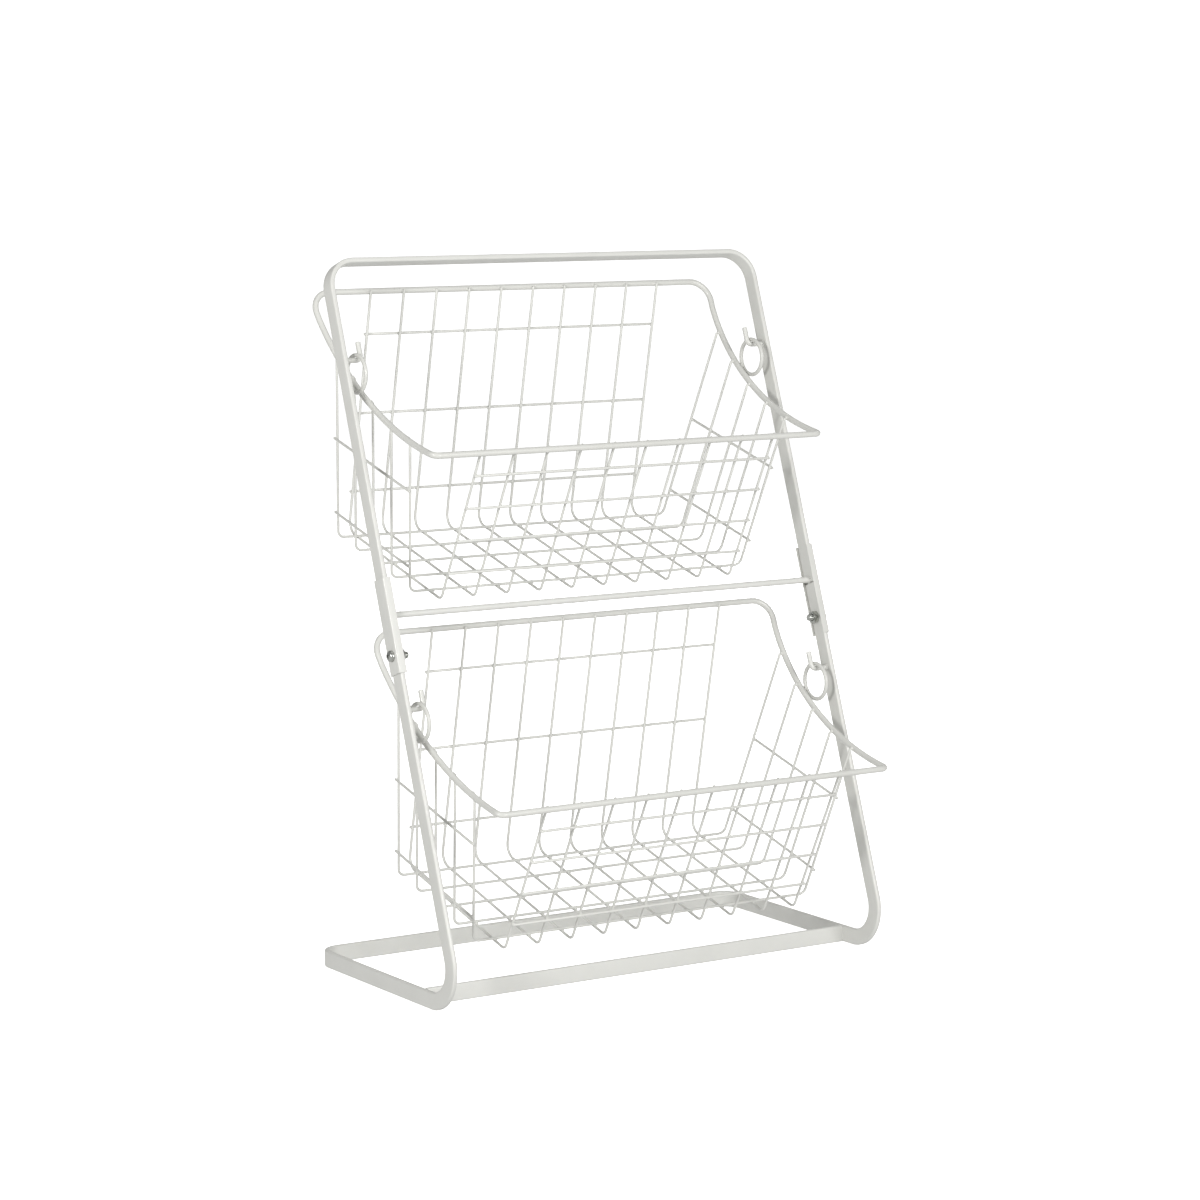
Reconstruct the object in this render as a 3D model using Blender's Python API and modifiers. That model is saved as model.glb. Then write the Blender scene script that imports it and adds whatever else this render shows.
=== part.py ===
"""Two-tier vegetable basket: a leaning flat-bar stand with two wire baskets hung on hooks.

Metres, +Z up, +X to the right, +Y to the rear. The origin is on the floor, under the
middle of the front base bar. The stand is two bent flat bars joined by two channels. Each
basket is a set of bent wires welded inside a heavier rim, with a ring on each side that
drops over a hook on the stand, so the basket swings about its two hooks.
"""

import math

import bmesh
import bpy
from mathutils import Euler, Vector

# Flat bar of the stand: it stands on edge, so its wide sides face left and right.
FRAME_WIDTH = 0.450
BAR_DEPTH = 0.015
BAR_THICKNESS = 0.0045
BAR_EDGE_RADIUS = 0.0015
LEAN_ANGLE = math.radians(19.8)
LEG_LENGTH = 0.663
TOP_CORNER_RADIUS = 0.0265
FRONT_BEND_RADIUS = 0.038
BASE_DEPTH = 0.250
BASE_CORNER_RADIUS = 0.020
FRONT_BAR_SETBACK = 0.067

# Joint between the two bent bars, measured along the legs from the floor. The channels'
# feet and the screws are placed by how far they lie below it.
LEG_JOINT_HEIGHT = 0.3463
CHANNEL_DROP = 0.0481
CHANNEL_LENGTH = 0.083
CHANNEL_WALL = 0.001
CHANNEL_BEND_RADIUS = 0.001
CHANNEL_OVERRUN = 0.0013
CROSSBAR_DIAMETER = 0.0055
CROSSBAR_RISE = 0.0030
SCREW_DROP = 0.0320
SCREW_SHANK_DIAMETER = 0.0060
SCREW_HEAD_DIAMETER = 0.0100
SCREW_HEAD_HEIGHT = 0.0039
SCREW_END_LENGTH = 0.0040
NUT_ACROSS_FLATS = 0.010
NUT_THICKNESS = 0.0050
HOLE_CLEARANCE = 0.0003

# Hooks, measured along the legs from the floor to the middle of each hook's rod.
UPPER_HOOK_HEIGHT = 0.5733
LOWER_HOOK_HEIGHT = 0.2672
HOOK_DIAMETER = 0.0046
HOOK_RISE = 0.0160

# Basket shape. Height is measured up from the floor wires, and depth rearward from the
# bend where the floor meets the front. The width follows from the rings' place.
BASKET_TILT = math.radians(15.4)
FLOOR_DEPTH = 0.1656
BACK_HEIGHT = 0.2176
FRONT_HEIGHT = 0.1461
BACK_FLARE = math.radians(4.6)
FRONT_FLARE = math.radians(10.9)
SIDE_FLARE = math.radians(8.7)
REAR_BEND_RADIUS = 0.012
FRONT_WIRE_BEND_RADIUS = 0.006
SIDE_BEND_RADIUS = 0.007

# Rim: a heavier closed loop whose sides sweep down from the high back to the low front.
RIM_DIAMETER = 0.0055
RIM_REAR_RADIUS = 0.018
RIM_FRONT_RADIUS = 0.006
RIM_REAR_SWEEP_LENGTH = 0.064
RIM_REAR_SWEEP_ANGLE = math.radians(49.8)
RIM_FRONT_SWEEP_LENGTH = 0.0967
RIM_FRONT_SWEEP_ANGLE = math.radians(7.0)

# Wires and rails. Each rail row starts at its height and climbs by its pitch.
WIRE_DIAMETER = 0.0024
LONG_WIRE_COUNT = 10
LONG_WIRE_MARGIN = 0.022
LONG_WIRE_END_RISE = 0.002
CROSS_WIRE_COUNT = 5
CROSS_WIRE_FRONT_MARGIN = 0.016
CROSS_WIRE_REAR_MARGIN = 0.0202
BACK_RAIL_COUNT = 3
BACK_RAIL_HEIGHT = 0.0352
BACK_RAIL_PITCH = 0.0721
FRONT_RAIL_COUNT = 4
FRONT_RAIL_HEIGHT = 0.0269
FRONT_RAIL_PITCH = 0.0321
SIDE_RAIL_COUNT = 2
SIDE_RAIL_HEIGHT = 0.0265
SIDE_RAIL_PITCH = 0.0701
LONG_RAIL_OVERHANG = 0.0020
SIDE_RAIL_OVERHANG = 0.0030
WELD_DEPTH = 0.0005

# Rings that drop over the hooks. They stand upright, inset from the legs' inner faces.
RING_DIAMETER = 0.0323
RING_WIRE_DIAMETER = 0.0036
RING_SETBACK = 0.0958
RING_INSET = 0.0117

# Gap left between pieces that touch or are welded, and how far a cutter runs past.
SEAT_GAP = 0.0003
CUT_OVERRUN = 0.002
MERGE_DISTANCE = 0.00003

# How finely curves are faceted.
BEND_STEPS = 4
EDGE_STEPS = 3
BAR_BEND_STEPS = 10
RIM_SWEEP_STEPS = 18
RING_STEPS = 24
WIRE_RESOLUTION = 2
TURN_STEPS = 24
HEAD_DOME_STEPS = 4
HALVING_STEPS = 40
CORNER_CLEARANCE_SHARE = 1.3

# Powder coat and zinc plate: colour, roughness and metallic.
COAT = ((0.78, 0.78, 0.75, 1.0), 0.42, 0.0)
ZINC = ((0.62, 0.62, 0.60, 1.0), 0.30, 1.0)

# Places worked out from the sizes above.
SIDES = (("left", -1), ("right", 1))
BAR_CENTRE_X = (FRAME_WIDTH - BAR_THICKNESS) / 2
BAR_INNER_X = FRAME_WIDTH / 2 - BAR_THICKNESS
LEG_MIDDLE = BAR_DEPTH / 2
ORIGIN_SHIFT = FRONT_BAR_SETBACK + BAR_THICKNESS / 2
CHANNEL_FOOT_HEIGHT = LEG_JOINT_HEIGHT - CHANNEL_DROP
SCREW_HEIGHT = LEG_JOINT_HEIGHT - SCREW_DROP
WIRE_OFFSET = WIRE_DIAMETER + SEAT_GAP
RIM_OFFSET = (RIM_DIAMETER + WIRE_DIAMETER) / 2 + SEAT_GAP
RING_REACH = BAR_INNER_X - RING_INSET
RIM_TO_RING = (RIM_DIAMETER + RING_WIRE_DIAMETER) / 2 + SEAT_GAP
HOOK_TO_RING = (HOOK_DIAMETER + RING_WIRE_DIAMETER) / 2 + SEAT_GAP


# Scene helpers

def clear_scene():
    for item in list(bpy.data.objects):
        bpy.data.objects.remove(item, do_unlink=True)


def make_collection(name):
    group = bpy.data.collections.new(name)
    bpy.context.scene.collection.children.link(group)
    return group


def make_material(name, finish):
    colour, roughness, metallic = finish
    material = bpy.data.materials.new(name)
    material.use_nodes = True
    material.diffuse_color = colour
    shader = material.node_tree.nodes["Principled BSDF"]
    shader.inputs["Base Color"].default_value = colour
    shader.inputs["Roughness"].default_value = roughness
    shader.inputs["Metallic"].default_value = metallic
    return material


def add_empty(name, parent, location, lean=0.0):
    """An empty that its children are placed from, turned about the X axis."""
    empty = bpy.data.objects.new(name, None)
    PARTS.objects.link(empty)
    empty.parent = parent
    empty.location = location
    empty.rotation_euler = Euler((lean, 0.0, 0.0))
    return empty


def add_piece(name, data, parent, finish, location=(0.0, 0.0, 0.0)):
    """One named piece of the product, with its own material."""
    material = make_material(name + "_finish", finish)
    if not data.materials:
        data.materials.append(material)
    piece = bpy.data.objects.new(name, data)
    PARTS.objects.link(piece)
    piece.parent = parent
    piece.location = location
    piece.material_slots[0].link = "OBJECT"
    piece.material_slots[0].material = material
    return piece


def add_guide(name, data, parent=None, location=(0.0, 0.0, 0.0)):
    """A shape that cuts, joins or guides other pieces and isn't one itself."""
    guide = bpy.data.objects.new(name, data)
    GUIDES.objects.link(guide)
    guide.parent = parent
    guide.location = location
    guide.hide_render = True
    guide.display_type = "WIRE"
    return guide


def add_boolean(piece, operation, other):
    change = piece.modifiers.new(other.name, "BOOLEAN")
    change.operation = operation
    change.solver = "EXACT"
    change.object = other


# Shapes

def rounded_corner(before, corner, after, radius, steps):
    """Points of the arc that rounds a corner."""
    towards_before = (before - corner).normalized()
    towards_after = (after - corner).normalized()
    half_angle = towards_before.angle(towards_after) / 2
    start = corner + towards_before * (radius / math.tan(half_angle))
    towards_centre = (towards_before + towards_after).normalized()
    centre = corner + towards_centre * (radius / math.sin(half_angle))
    outward = (start - centre).normalized()
    turn = math.pi - 2 * half_angle
    points = []
    for step in range(steps + 1):
        angle = turn * step / steps
        points.append(centre + radius * (math.cos(angle) * outward - math.sin(angle) * towards_before))
    return points


def bent_path(corners, steps):
    """A path through (point, bend radius) corners, with every bend rounded."""
    points = []
    for index, (corner, radius) in enumerate(corners):
        if radius:
            before = corners[index - 1][0]
            after = corners[(index + 1) % len(corners)][0]
            points.extend(rounded_corner(before, corner, after, radius, steps))
        else:
            points.append(corner)
    return points


def mirrored(corners):
    """The same (point, bend radius) corners on the other side, in the order that carries on."""
    return [(Vector((-point.x, point.y, point.z)), radius) for point, radius in reversed(corners)]


def add_spline(curve, path, closed):
    spline = curve.splines.new("POLY")
    spline.points.add(len(path) - 1)
    spline.use_cyclic_u = closed
    for point, place in zip(spline.points, path):
        point.co = (*place, 1.0)


def rod_curve(name, paths, diameter, closed=False):
    """Round rod or wire along one or more paths."""
    curve = bpy.data.curves.new(name, "CURVE")
    curve.dimensions = "3D"
    curve.bevel_depth = diameter / 2
    curve.bevel_resolution = WIRE_RESOLUTION
    curve.use_fill_caps = not closed
    for path in paths:
        add_spline(curve, path, closed)
    return curve


def bar_section():
    """Cross-section of the flat bar, with rounded edges."""
    half_thickness = BAR_THICKNESS / 2
    half_depth = BAR_DEPTH / 2
    corners = [
        (Vector((-half_thickness, -half_depth, 0.0)), BAR_EDGE_RADIUS),
        (Vector((-half_thickness, half_depth, 0.0)), BAR_EDGE_RADIUS),
        (Vector((half_thickness, half_depth, 0.0)), BAR_EDGE_RADIUS),
        (Vector((half_thickness, -half_depth, 0.0)), BAR_EDGE_RADIUS)]
    curve = bpy.data.curves.new("bar section", "CURVE")
    curve.dimensions = "2D"
    add_spline(curve, bent_path(corners, EDGE_STEPS), closed=True)
    return add_guide("bar section", curve)


def bar_curve(name, path, section):
    """Flat bar along a path, with its section carried round the bends."""
    curve = rod_curve(name, [path], BAR_THICKNESS)
    curve.twist_mode = "MINIMUM"
    curve.bevel_mode = "OBJECT"
    curve.bevel_object = section
    return curve


def evaluated_mesh(item):
    """The closed mesh that a curve or a modified object makes."""
    bpy.context.view_layer.update()
    graph = bpy.context.evaluated_depsgraph_get()
    mesh = bpy.data.meshes.new_from_object(item.evaluated_get(graph))
    work = bmesh.new()
    work.from_mesh(mesh)
    bmesh.ops.remove_doubles(work, verts=work.verts, dist=MERGE_DISTANCE)
    work.to_mesh(mesh)
    work.free()
    return mesh


def mesh_of_curve(curve):
    """A curve's solid as a mesh, which a Boolean can cut or join."""
    rod = add_guide(curve.name, curve)
    mesh = evaluated_mesh(rod)
    bpy.data.objects.remove(rod, do_unlink=True)
    return mesh


def cylinder_mesh(name, diameter, length, sides):
    """Cylinder or prism along X, centred on its origin."""
    mesh = bpy.data.meshes.new(name)
    work = bmesh.new()
    bmesh.ops.create_cone(work, cap_ends=True, segments=sides, radius1=diameter / 2,
                          radius2=diameter / 2, depth=length)
    along_x = Euler((0.0, math.pi / 2, 0.0)).to_matrix()
    bmesh.ops.rotate(work, verts=work.verts, matrix=along_x)
    work.to_mesh(mesh)
    work.free()
    return mesh


# The stand

def leg_point(x, along):
    """A point on a leg's middle line, in the stand's upright frame."""
    y = along * math.sin(LEAN_ANGLE) + LEG_MIDDLE * math.cos(LEAN_ANGLE)
    z = along * math.cos(LEAN_ANGLE) - LEG_MIDDLE * math.sin(LEAN_ANGLE)
    return Vector((x, y, z))


def build_upper_frame(leaning, section):
    """Upside-down U: both upper legs and the top bar, in the leaning plane."""
    foot = LEG_JOINT_HEIGHT + SEAT_GAP
    top = LEG_LENGTH - BAR_THICKNESS / 2
    left = [
        (Vector((-BAR_CENTRE_X, LEG_MIDDLE, foot)), 0.0),
        (Vector((-BAR_CENTRE_X, LEG_MIDDLE, top)), TOP_CORNER_RADIUS - BAR_THICKNESS / 2)]
    path = bent_path(left + mirrored(left), BAR_BEND_STEPS)
    add_piece("upper_frame", bar_curve("upper_frame", path, section), leaning, COAT)


def build_lower_frame(stand, section):
    """One bent bar: both lower legs, both base sides and the rear bar."""
    middle = BAR_DEPTH / 2
    bend_y = middle * (1 + math.sin(LEAN_ANGLE)) / math.cos(LEAN_ANGLE)
    rear_y = BASE_DEPTH - BAR_THICKNESS / 2
    left = [
        (leg_point(-BAR_CENTRE_X, LEG_JOINT_HEIGHT), 0.0),
        (Vector((-BAR_CENTRE_X, bend_y, middle)), FRONT_BEND_RADIUS - BAR_DEPTH / 2),
        (Vector((-BAR_CENTRE_X, rear_y, middle)), BASE_CORNER_RADIUS - BAR_THICKNESS / 2)]
    path = bent_path(left + mirrored(left), BAR_BEND_STEPS)
    mesh = mesh_of_curve(bar_curve("lower_frame", path, section))
    return add_piece("lower_frame", mesh, stand, COAT)


def build_front_bar(stand, section):
    """Straight bar welded between the base sides, just behind the front bends."""
    end = BAR_INNER_X - SEAT_GAP
    place = (0.0, FRONT_BAR_SETBACK + BAR_THICKNESS / 2, BAR_DEPTH / 2)
    path = [Vector((-end, 0.0, 0.0)), Vector((end, 0.0, 0.0))]
    add_piece("front_bar", bar_curve("front_bar", path, section), stand, COAT, place)


def channel_mesh(name, side):
    """Open strip that the channel's sheet is thickened from: the web and two flanges."""
    inner_x = BAR_INNER_X - CHANNEL_OVERRUN
    outer_x = FRAME_WIDTH / 2 + SEAT_GAP
    size = Vector((outer_x - inner_x, BAR_DEPTH + 2 * SEAT_GAP, CHANNEL_LENGTH))
    middle = Vector((side * (inner_x + outer_x) / 2, 0.0, CHANNEL_LENGTH / 2))
    mesh = bpy.data.meshes.new(name)
    work = bmesh.new()
    bmesh.ops.create_cube(work, size=1.0)
    bmesh.ops.scale(work, vec=size, verts=work.verts)
    bmesh.ops.translate(work, vec=middle, verts=work.verts)
    work.normal_update()
    ends_and_mouth = [face for face in work.faces
                      if round(face.normal.z) or round(face.normal.x) == -side]
    bmesh.ops.delete(work, geom=ends_and_mouth, context="FACES")
    work.to_mesh(mesh)
    work.free()
    return mesh


def build_channel(leaning, name, side):
    """Folded sheet channel that wraps a leg from outside, open towards the middle."""
    place = (0.0, LEG_MIDDLE, CHANNEL_FOOT_HEIGHT)
    channel = add_piece(name, channel_mesh(name, side), leaning, COAT, place)
    fold = channel.modifiers.new("folds", "BEVEL")
    fold.width = CHANNEL_BEND_RADIUS
    fold.segments = EDGE_STEPS
    sheet = channel.modifiers.new("sheet", "SOLIDIFY")
    sheet.thickness = CHANNEL_WALL
    sheet.offset = 1.0
    sheet.use_even_offset = True
    return channel


def screw_mesh(name):
    """Half outline of a pan-head screw about Z, from the top of the head down to the tip."""
    head_radius = SCREW_HEAD_DIAMETER / 2
    shank_radius = SCREW_SHANK_DIAMETER / 2
    seat = FRAME_WIDTH / 2 + SEAT_GAP + CHANNEL_WALL + SEAT_GAP
    tip = BAR_INNER_X - SEAT_GAP - NUT_THICKNESS - SCREW_END_LENGTH
    outline = []
    for step in range(HEAD_DOME_STEPS + 1):
        angle = math.pi / 2 * step / HEAD_DOME_STEPS
        outline.append((head_radius * math.sin(angle), 0.0, seat + SCREW_HEAD_HEIGHT * math.cos(angle)))
    outline += [(shank_radius, 0.0, seat), (shank_radius, 0.0, tip), (0.0, 0.0, tip)]
    mesh = bpy.data.meshes.new(name)
    mesh.from_pydata(outline, [(index, index + 1) for index in range(len(outline) - 1)], [])
    return mesh


def build_screw(leaning, name, side):
    """Screw through the channel's web and the lower leg, with its axis along X."""
    screw = add_piece(name, screw_mesh(name), leaning, ZINC, (0.0, LEG_MIDDLE, SCREW_HEIGHT))
    screw.rotation_euler = Euler((0.0, side * math.pi / 2, 0.0))
    turn = screw.modifiers.new("turned", "SCREW")
    turn.steps = TURN_STEPS
    turn.render_steps = TURN_STEPS
    turn.use_merge_vertices = True
    turn.merge_threshold = MERGE_DISTANCE


def build_leg_joints(leaning, lower_frame):
    """Channels, screws and nuts that join the two bent bars."""
    hole_diameter = SCREW_SHANK_DIAMETER + 2 * HOLE_CLEARANCE
    hole_length = 2 * (BAR_THICKNESS + NUT_THICKNESS + CUT_OVERRUN)
    hole_mesh = cylinder_mesh("screw hole", hole_diameter, hole_length, TURN_STEPS)
    nut_mesh = cylinder_mesh("nut", NUT_ACROSS_FLATS / math.cos(math.pi / 6), NUT_THICKNESS, 6)
    nut_x = BAR_INNER_X - SEAT_GAP - NUT_THICKNESS / 2
    for label, side in SIDES:
        hole = add_guide(label + " screw hole", hole_mesh, leaning,
                         (side * BAR_CENTRE_X, LEG_MIDDLE, SCREW_HEIGHT))
        channel = build_channel(leaning, label + "_channel", side)
        nut = add_piece(label + "_nut", nut_mesh, leaning, ZINC, (side * nut_x, LEG_MIDDLE, SCREW_HEIGHT))
        build_screw(leaning, label + "_screw", side)
        for piece in (channel, lower_frame, nut):
            add_boolean(piece, "DIFFERENCE", hole)


def build_crossbar(leaning):
    """Round rod between the legs, welded just above the joint of the two frames."""
    end = BAR_INNER_X - SEAT_GAP
    path = [Vector((-end, 0.0, 0.0)), Vector((end, 0.0, 0.0))]
    place = (0.0, LEG_MIDDLE, LEG_JOINT_HEIGHT + CROSSBAR_RISE)
    add_piece("crossbar", rod_curve("crossbar", [path], CROSSBAR_DIAMETER), leaning, COAT, place)


def hook_curve(name, side):
    """Rod from the leg's inner side, inward, and then up round the wire of the ring."""
    start = side * (BAR_INNER_X - SEAT_GAP)
    elbow = side * (RING_REACH - HOOK_TO_RING)
    corners = [
        (Vector((start, 0.0, 0.0)), 0.0),
        (Vector((elbow, 0.0, 0.0)), HOOK_TO_RING),
        (Vector((elbow, 0.0, HOOK_RISE)), 0.0)]
    return rod_curve(name, [bent_path(corners, BEND_STEPS)], HOOK_DIAMETER)


def build_hooks(leaning):
    """Two pairs of hooks, one pair for each basket."""
    for label, side in SIDES:
        curve = hook_curve(label + "_hook", side)
        for level, along in (("upper", UPPER_HOOK_HEIGHT), ("lower", LOWER_HOOK_HEIGHT)):
            add_piece(f"{level}_{label}_hook", curve, leaning, COAT, (0.0, LEG_MIDDLE, along))


def build_stand():
    """The whole stand. Returns the empty that lies in the legs' leaning plane."""
    stand = add_empty("stand", None, (0.0, -ORIGIN_SHIFT, 0.0))
    leaning = add_empty("leaning_plane", stand, (0.0, 0.0, 0.0), -LEAN_ANGLE)
    section = bar_section()
    build_upper_frame(leaning, section)
    lower_frame = build_lower_frame(stand, section)
    build_front_bar(stand, section)
    build_leg_joints(leaning, lower_frame)
    build_crossbar(leaning)
    build_hooks(leaning)
    return leaning


# A basket, in its own tilted frame: x across, y is depth and z is height

def back_depth(height, outward=0.0):
    """Depth of the back wires at a height, or of a line some way outside them."""
    return FLOOR_DEPTH + height * math.tan(BACK_FLARE) + outward / math.cos(BACK_FLARE)


def front_depth(height, outward=0.0):
    """Depth of the front wires at a height, or of a line some way outside them."""
    return -height * math.tan(FRONT_FLARE) - outward / math.cos(FRONT_FLARE)


def side_reach(height, outward=0.0):
    """How far out the side wires are at a height, or a line some way outside them.

    The rim lies just inside the upright ring, at the height of the ring's rear edge.
    """
    rise = height - rim_height(RING_SETBACK + RING_DIAMETER / 2)
    inward = (RIM_OFFSET - outward) / math.cos(SIDE_FLARE)
    return RING_REACH - RIM_TO_RING + rise * math.tan(SIDE_FLARE) - inward


def evenly(count, first, pitch):
    return [first + pitch * index for index in range(count)]


def rim_sweep(share):
    """Depth and height of the rim's side at a share of the way from back to front."""
    back = Vector((back_depth(BACK_HEIGHT, RIM_OFFSET), BACK_HEIGHT))
    front = Vector((front_depth(FRONT_HEIGHT, RIM_OFFSET), FRONT_HEIGHT))
    back_pull = back - RIM_REAR_SWEEP_LENGTH * Vector(
        (math.cos(RIM_REAR_SWEEP_ANGLE), math.sin(RIM_REAR_SWEEP_ANGLE)))
    front_pull = front + RIM_FRONT_SWEEP_LENGTH * Vector(
        (math.cos(RIM_FRONT_SWEEP_ANGLE), -math.sin(RIM_FRONT_SWEEP_ANGLE)))
    rest = 1 - share
    return (rest ** 3 * back + 3 * rest ** 2 * share * back_pull
            + 3 * rest * share ** 2 * front_pull + share ** 3 * front)


def rim_height(depth):
    """Height of the rim's side above a depth, found by halving."""
    low, high = 0.0, 1.0
    for _ in range(HALVING_STEPS):
        middle = (low + high) / 2
        if rim_sweep(middle)[0] > depth:
            low = middle
        else:
            high = middle
    return rim_sweep(high)[1]


def rim_path():
    """Closed loop: high straight back, swept sides and low straight front."""
    places = [rim_sweep(step / RIM_SWEEP_STEPS) for step in range(RIM_SWEEP_STEPS + 1)]
    back, front = places[0], places[-1]
    side = [(back, RIM_REAR_RADIUS)]
    for place in places[1:-1]:
        clear_of_back = (place - back).length > CORNER_CLEARANCE_SHARE * RIM_REAR_RADIUS
        clear_of_front = (place - front).length > CORNER_CLEARANCE_SHARE * RIM_FRONT_RADIUS
        if clear_of_back and clear_of_front:
            side.append((place, 0.0))
    side.append((front, RIM_FRONT_RADIUS))
    corners = [(Vector((side_reach(height, RIM_OFFSET), depth, height)), radius)
               for (depth, height), radius in side]
    return bent_path(corners + mirrored(corners), BEND_STEPS)


def long_wire_path():
    """Down the back, forward along the floor and up the front."""
    back_top = BACK_HEIGHT + LONG_WIRE_END_RISE
    front_top = FRONT_HEIGHT + LONG_WIRE_END_RISE
    corners = [
        (Vector((0.0, back_depth(back_top), back_top)), 0.0),
        (Vector((0.0, FLOOR_DEPTH, 0.0)), REAR_BEND_RADIUS),
        (Vector((0.0, 0.0, 0.0)), FRONT_WIRE_BEND_RADIUS),
        (Vector((0.0, front_depth(front_top), front_top)), 0.0)]
    return bent_path(corners, BEND_STEPS)


def cross_wire_depths():
    spread = FLOOR_DEPTH - CROSS_WIRE_FRONT_MARGIN - CROSS_WIRE_REAR_MARGIN
    return evenly(CROSS_WIRE_COUNT, CROSS_WIRE_FRONT_MARGIN, spread / (CROSS_WIRE_COUNT - 1))


def cross_wire_path(depth):
    """Down the left side, across on top of the long wires and up the right side."""
    top = rim_height(depth)
    left = [
        (Vector((-side_reach(top), depth, top)), 0.0),
        (Vector((-side_reach(WIRE_OFFSET), depth, WIRE_OFFSET)), SIDE_BEND_RADIUS)]
    return bent_path(left + mirrored(left), BEND_STEPS)


def side_rail_paths():
    """Straight rails, sunk into the outside of the cross wires by the depth of their welds."""
    depths = cross_wire_depths()
    start = depths[0] - SIDE_RAIL_OVERHANG
    end = depths[-1] + SIDE_RAIL_OVERHANG
    paths = []
    for height in evenly(SIDE_RAIL_COUNT, SIDE_RAIL_HEIGHT, SIDE_RAIL_PITCH):
        for _, side in SIDES:
            x = side * side_reach(height, WIRE_DIAMETER - WELD_DEPTH)
            paths.append([Vector((x, start, height)), Vector((x, end, height))])
    return paths


def cross_wires_mesh():
    """The cross wires with the side rails welded to them, as one solid."""
    wire_paths = [cross_wire_path(depth) for depth in cross_wire_depths()]
    wires = add_guide("wires", mesh_of_curve(rod_curve("wires", wire_paths, WIRE_DIAMETER)))
    rails = add_guide("rails", mesh_of_curve(rod_curve("rails", side_rail_paths(), WIRE_DIAMETER)))
    add_boolean(wires, "UNION", rails)
    mesh = evaluated_mesh(wires)
    bpy.data.objects.remove(wires, do_unlink=True)
    bpy.data.objects.remove(rails, do_unlink=True)
    return mesh


def ring_centre(side):
    """Middle of a ring, whose foot lies against the rim's outer side."""
    height = rim_height(RING_SETBACK) + RING_DIAMETER / 2
    return Vector((side * RING_REACH, RING_SETBACK, height))


def ring_path():
    """Upright circle about its own middle, square to the X axis."""
    points = []
    for step in range(RING_STEPS):
        angle = 2 * math.pi * step / RING_STEPS
        points.append(RING_DIAMETER / 2 * Vector((0.0, math.sin(angle), math.cos(angle))))
    return points


def hinge_in_basket():
    """The hook rod's axis, just under the top of the rings' holes, in the basket's frame."""
    rise = RING_DIAMETER / 2 - HOOK_TO_RING
    centre = ring_centre(1)
    return Vector((0.0, centre.y + rise * math.sin(BASKET_TILT), centre.z + rise * math.cos(BASKET_TILT)))


def basket_pieces():
    """Name, shape and place of every piece of a basket. Both baskets share the shapes."""
    wire = rod_curve("long_wire", [long_wire_path()], WIRE_DIAMETER)
    reach = side_reach(0.0) - LONG_WIRE_MARGIN
    end = reach + LONG_RAIL_OVERHANG
    rail = rod_curve("long_rail", [[Vector((-end, 0.0, 0.0)), Vector((end, 0.0, 0.0))]], WIRE_DIAMETER)
    rim = rod_curve("rim", [rim_path()], RIM_DIAMETER, closed=True)
    ring = rod_curve("ring", [ring_path()], RING_WIRE_DIAMETER, closed=True)
    pieces = [("rim", rim, Vector()), ("cross_wires", cross_wires_mesh(), Vector())]
    for number, x in enumerate(evenly(LONG_WIRE_COUNT, -reach, 2 * reach / (LONG_WIRE_COUNT - 1)), 1):
        pieces.append((f"long_wire_{number}", wire, Vector((x, 0.0, 0.0))))
    for number, height in enumerate(evenly(BACK_RAIL_COUNT, BACK_RAIL_HEIGHT, BACK_RAIL_PITCH), 1):
        pieces.append((f"back_rail_{number}", rail, Vector((0.0, back_depth(height, WIRE_OFFSET), height))))
    for number, height in enumerate(evenly(FRONT_RAIL_COUNT, FRONT_RAIL_HEIGHT, FRONT_RAIL_PITCH), 1):
        pieces.append((f"front_rail_{number}", rail, Vector((0.0, front_depth(height, WIRE_OFFSET), height))))
    for label, side in SIDES:
        pieces.append((label + "_ring", ring, ring_centre(side)))
    return pieces


def build_basket(level, pieces, leaning, hook_height):
    """One basket, hung by its rings from the hooks at a height along the legs."""
    hinge = add_empty(level + "_basket_hinge", leaning, (0.0, LEG_MIDDLE, hook_height),
                      LEAN_ANGLE + BASKET_TILT)
    for kind, shape, place in pieces:
        add_piece(f"{level}_{kind}", shape, hinge, COAT, place - hinge_in_basket())


clear_scene()
PARTS = make_collection("vegetable_basket")
GUIDES = make_collection("guides")
LEANING_PLANE = build_stand()
BASKET_PIECES = basket_pieces()
build_basket("upper", BASKET_PIECES, LEANING_PLANE, UPPER_HOOK_HEIGHT)
build_basket("lower", BASKET_PIECES, LEANING_PLANE, LOWER_HOOK_HEIGHT)
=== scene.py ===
"""Looks of the two-tier vegetable basket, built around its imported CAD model.

Metres, +Z up. Every CAD node is replaced by a finer piece of the same form in the same
place: smoother bends, domed wire ends, chamfered nuts, and screws with a cross recess and
a threaded end. Weld nuggets at the wire crossings and weld beads round the rods' ends are
added. The materials are procedural: satin powder coat and zinc plate.
"""

import math

import bmesh
import bpy
from mathutils import Matrix, Vector


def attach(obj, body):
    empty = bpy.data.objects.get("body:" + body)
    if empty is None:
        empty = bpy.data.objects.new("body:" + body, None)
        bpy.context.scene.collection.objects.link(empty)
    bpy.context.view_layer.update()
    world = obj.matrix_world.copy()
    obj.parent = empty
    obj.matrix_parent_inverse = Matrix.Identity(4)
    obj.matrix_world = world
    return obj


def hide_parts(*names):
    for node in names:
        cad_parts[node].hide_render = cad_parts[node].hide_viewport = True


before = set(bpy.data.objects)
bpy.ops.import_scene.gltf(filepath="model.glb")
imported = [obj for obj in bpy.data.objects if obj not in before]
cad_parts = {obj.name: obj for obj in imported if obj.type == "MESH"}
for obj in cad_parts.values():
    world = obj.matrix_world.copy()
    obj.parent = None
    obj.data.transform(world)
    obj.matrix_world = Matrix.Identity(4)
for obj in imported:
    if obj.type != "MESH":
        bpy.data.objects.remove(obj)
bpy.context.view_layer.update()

# Sizes of the part, the same as in its source
FRAME_WIDTH = 0.450
BAR_DEPTH = 0.015
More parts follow.
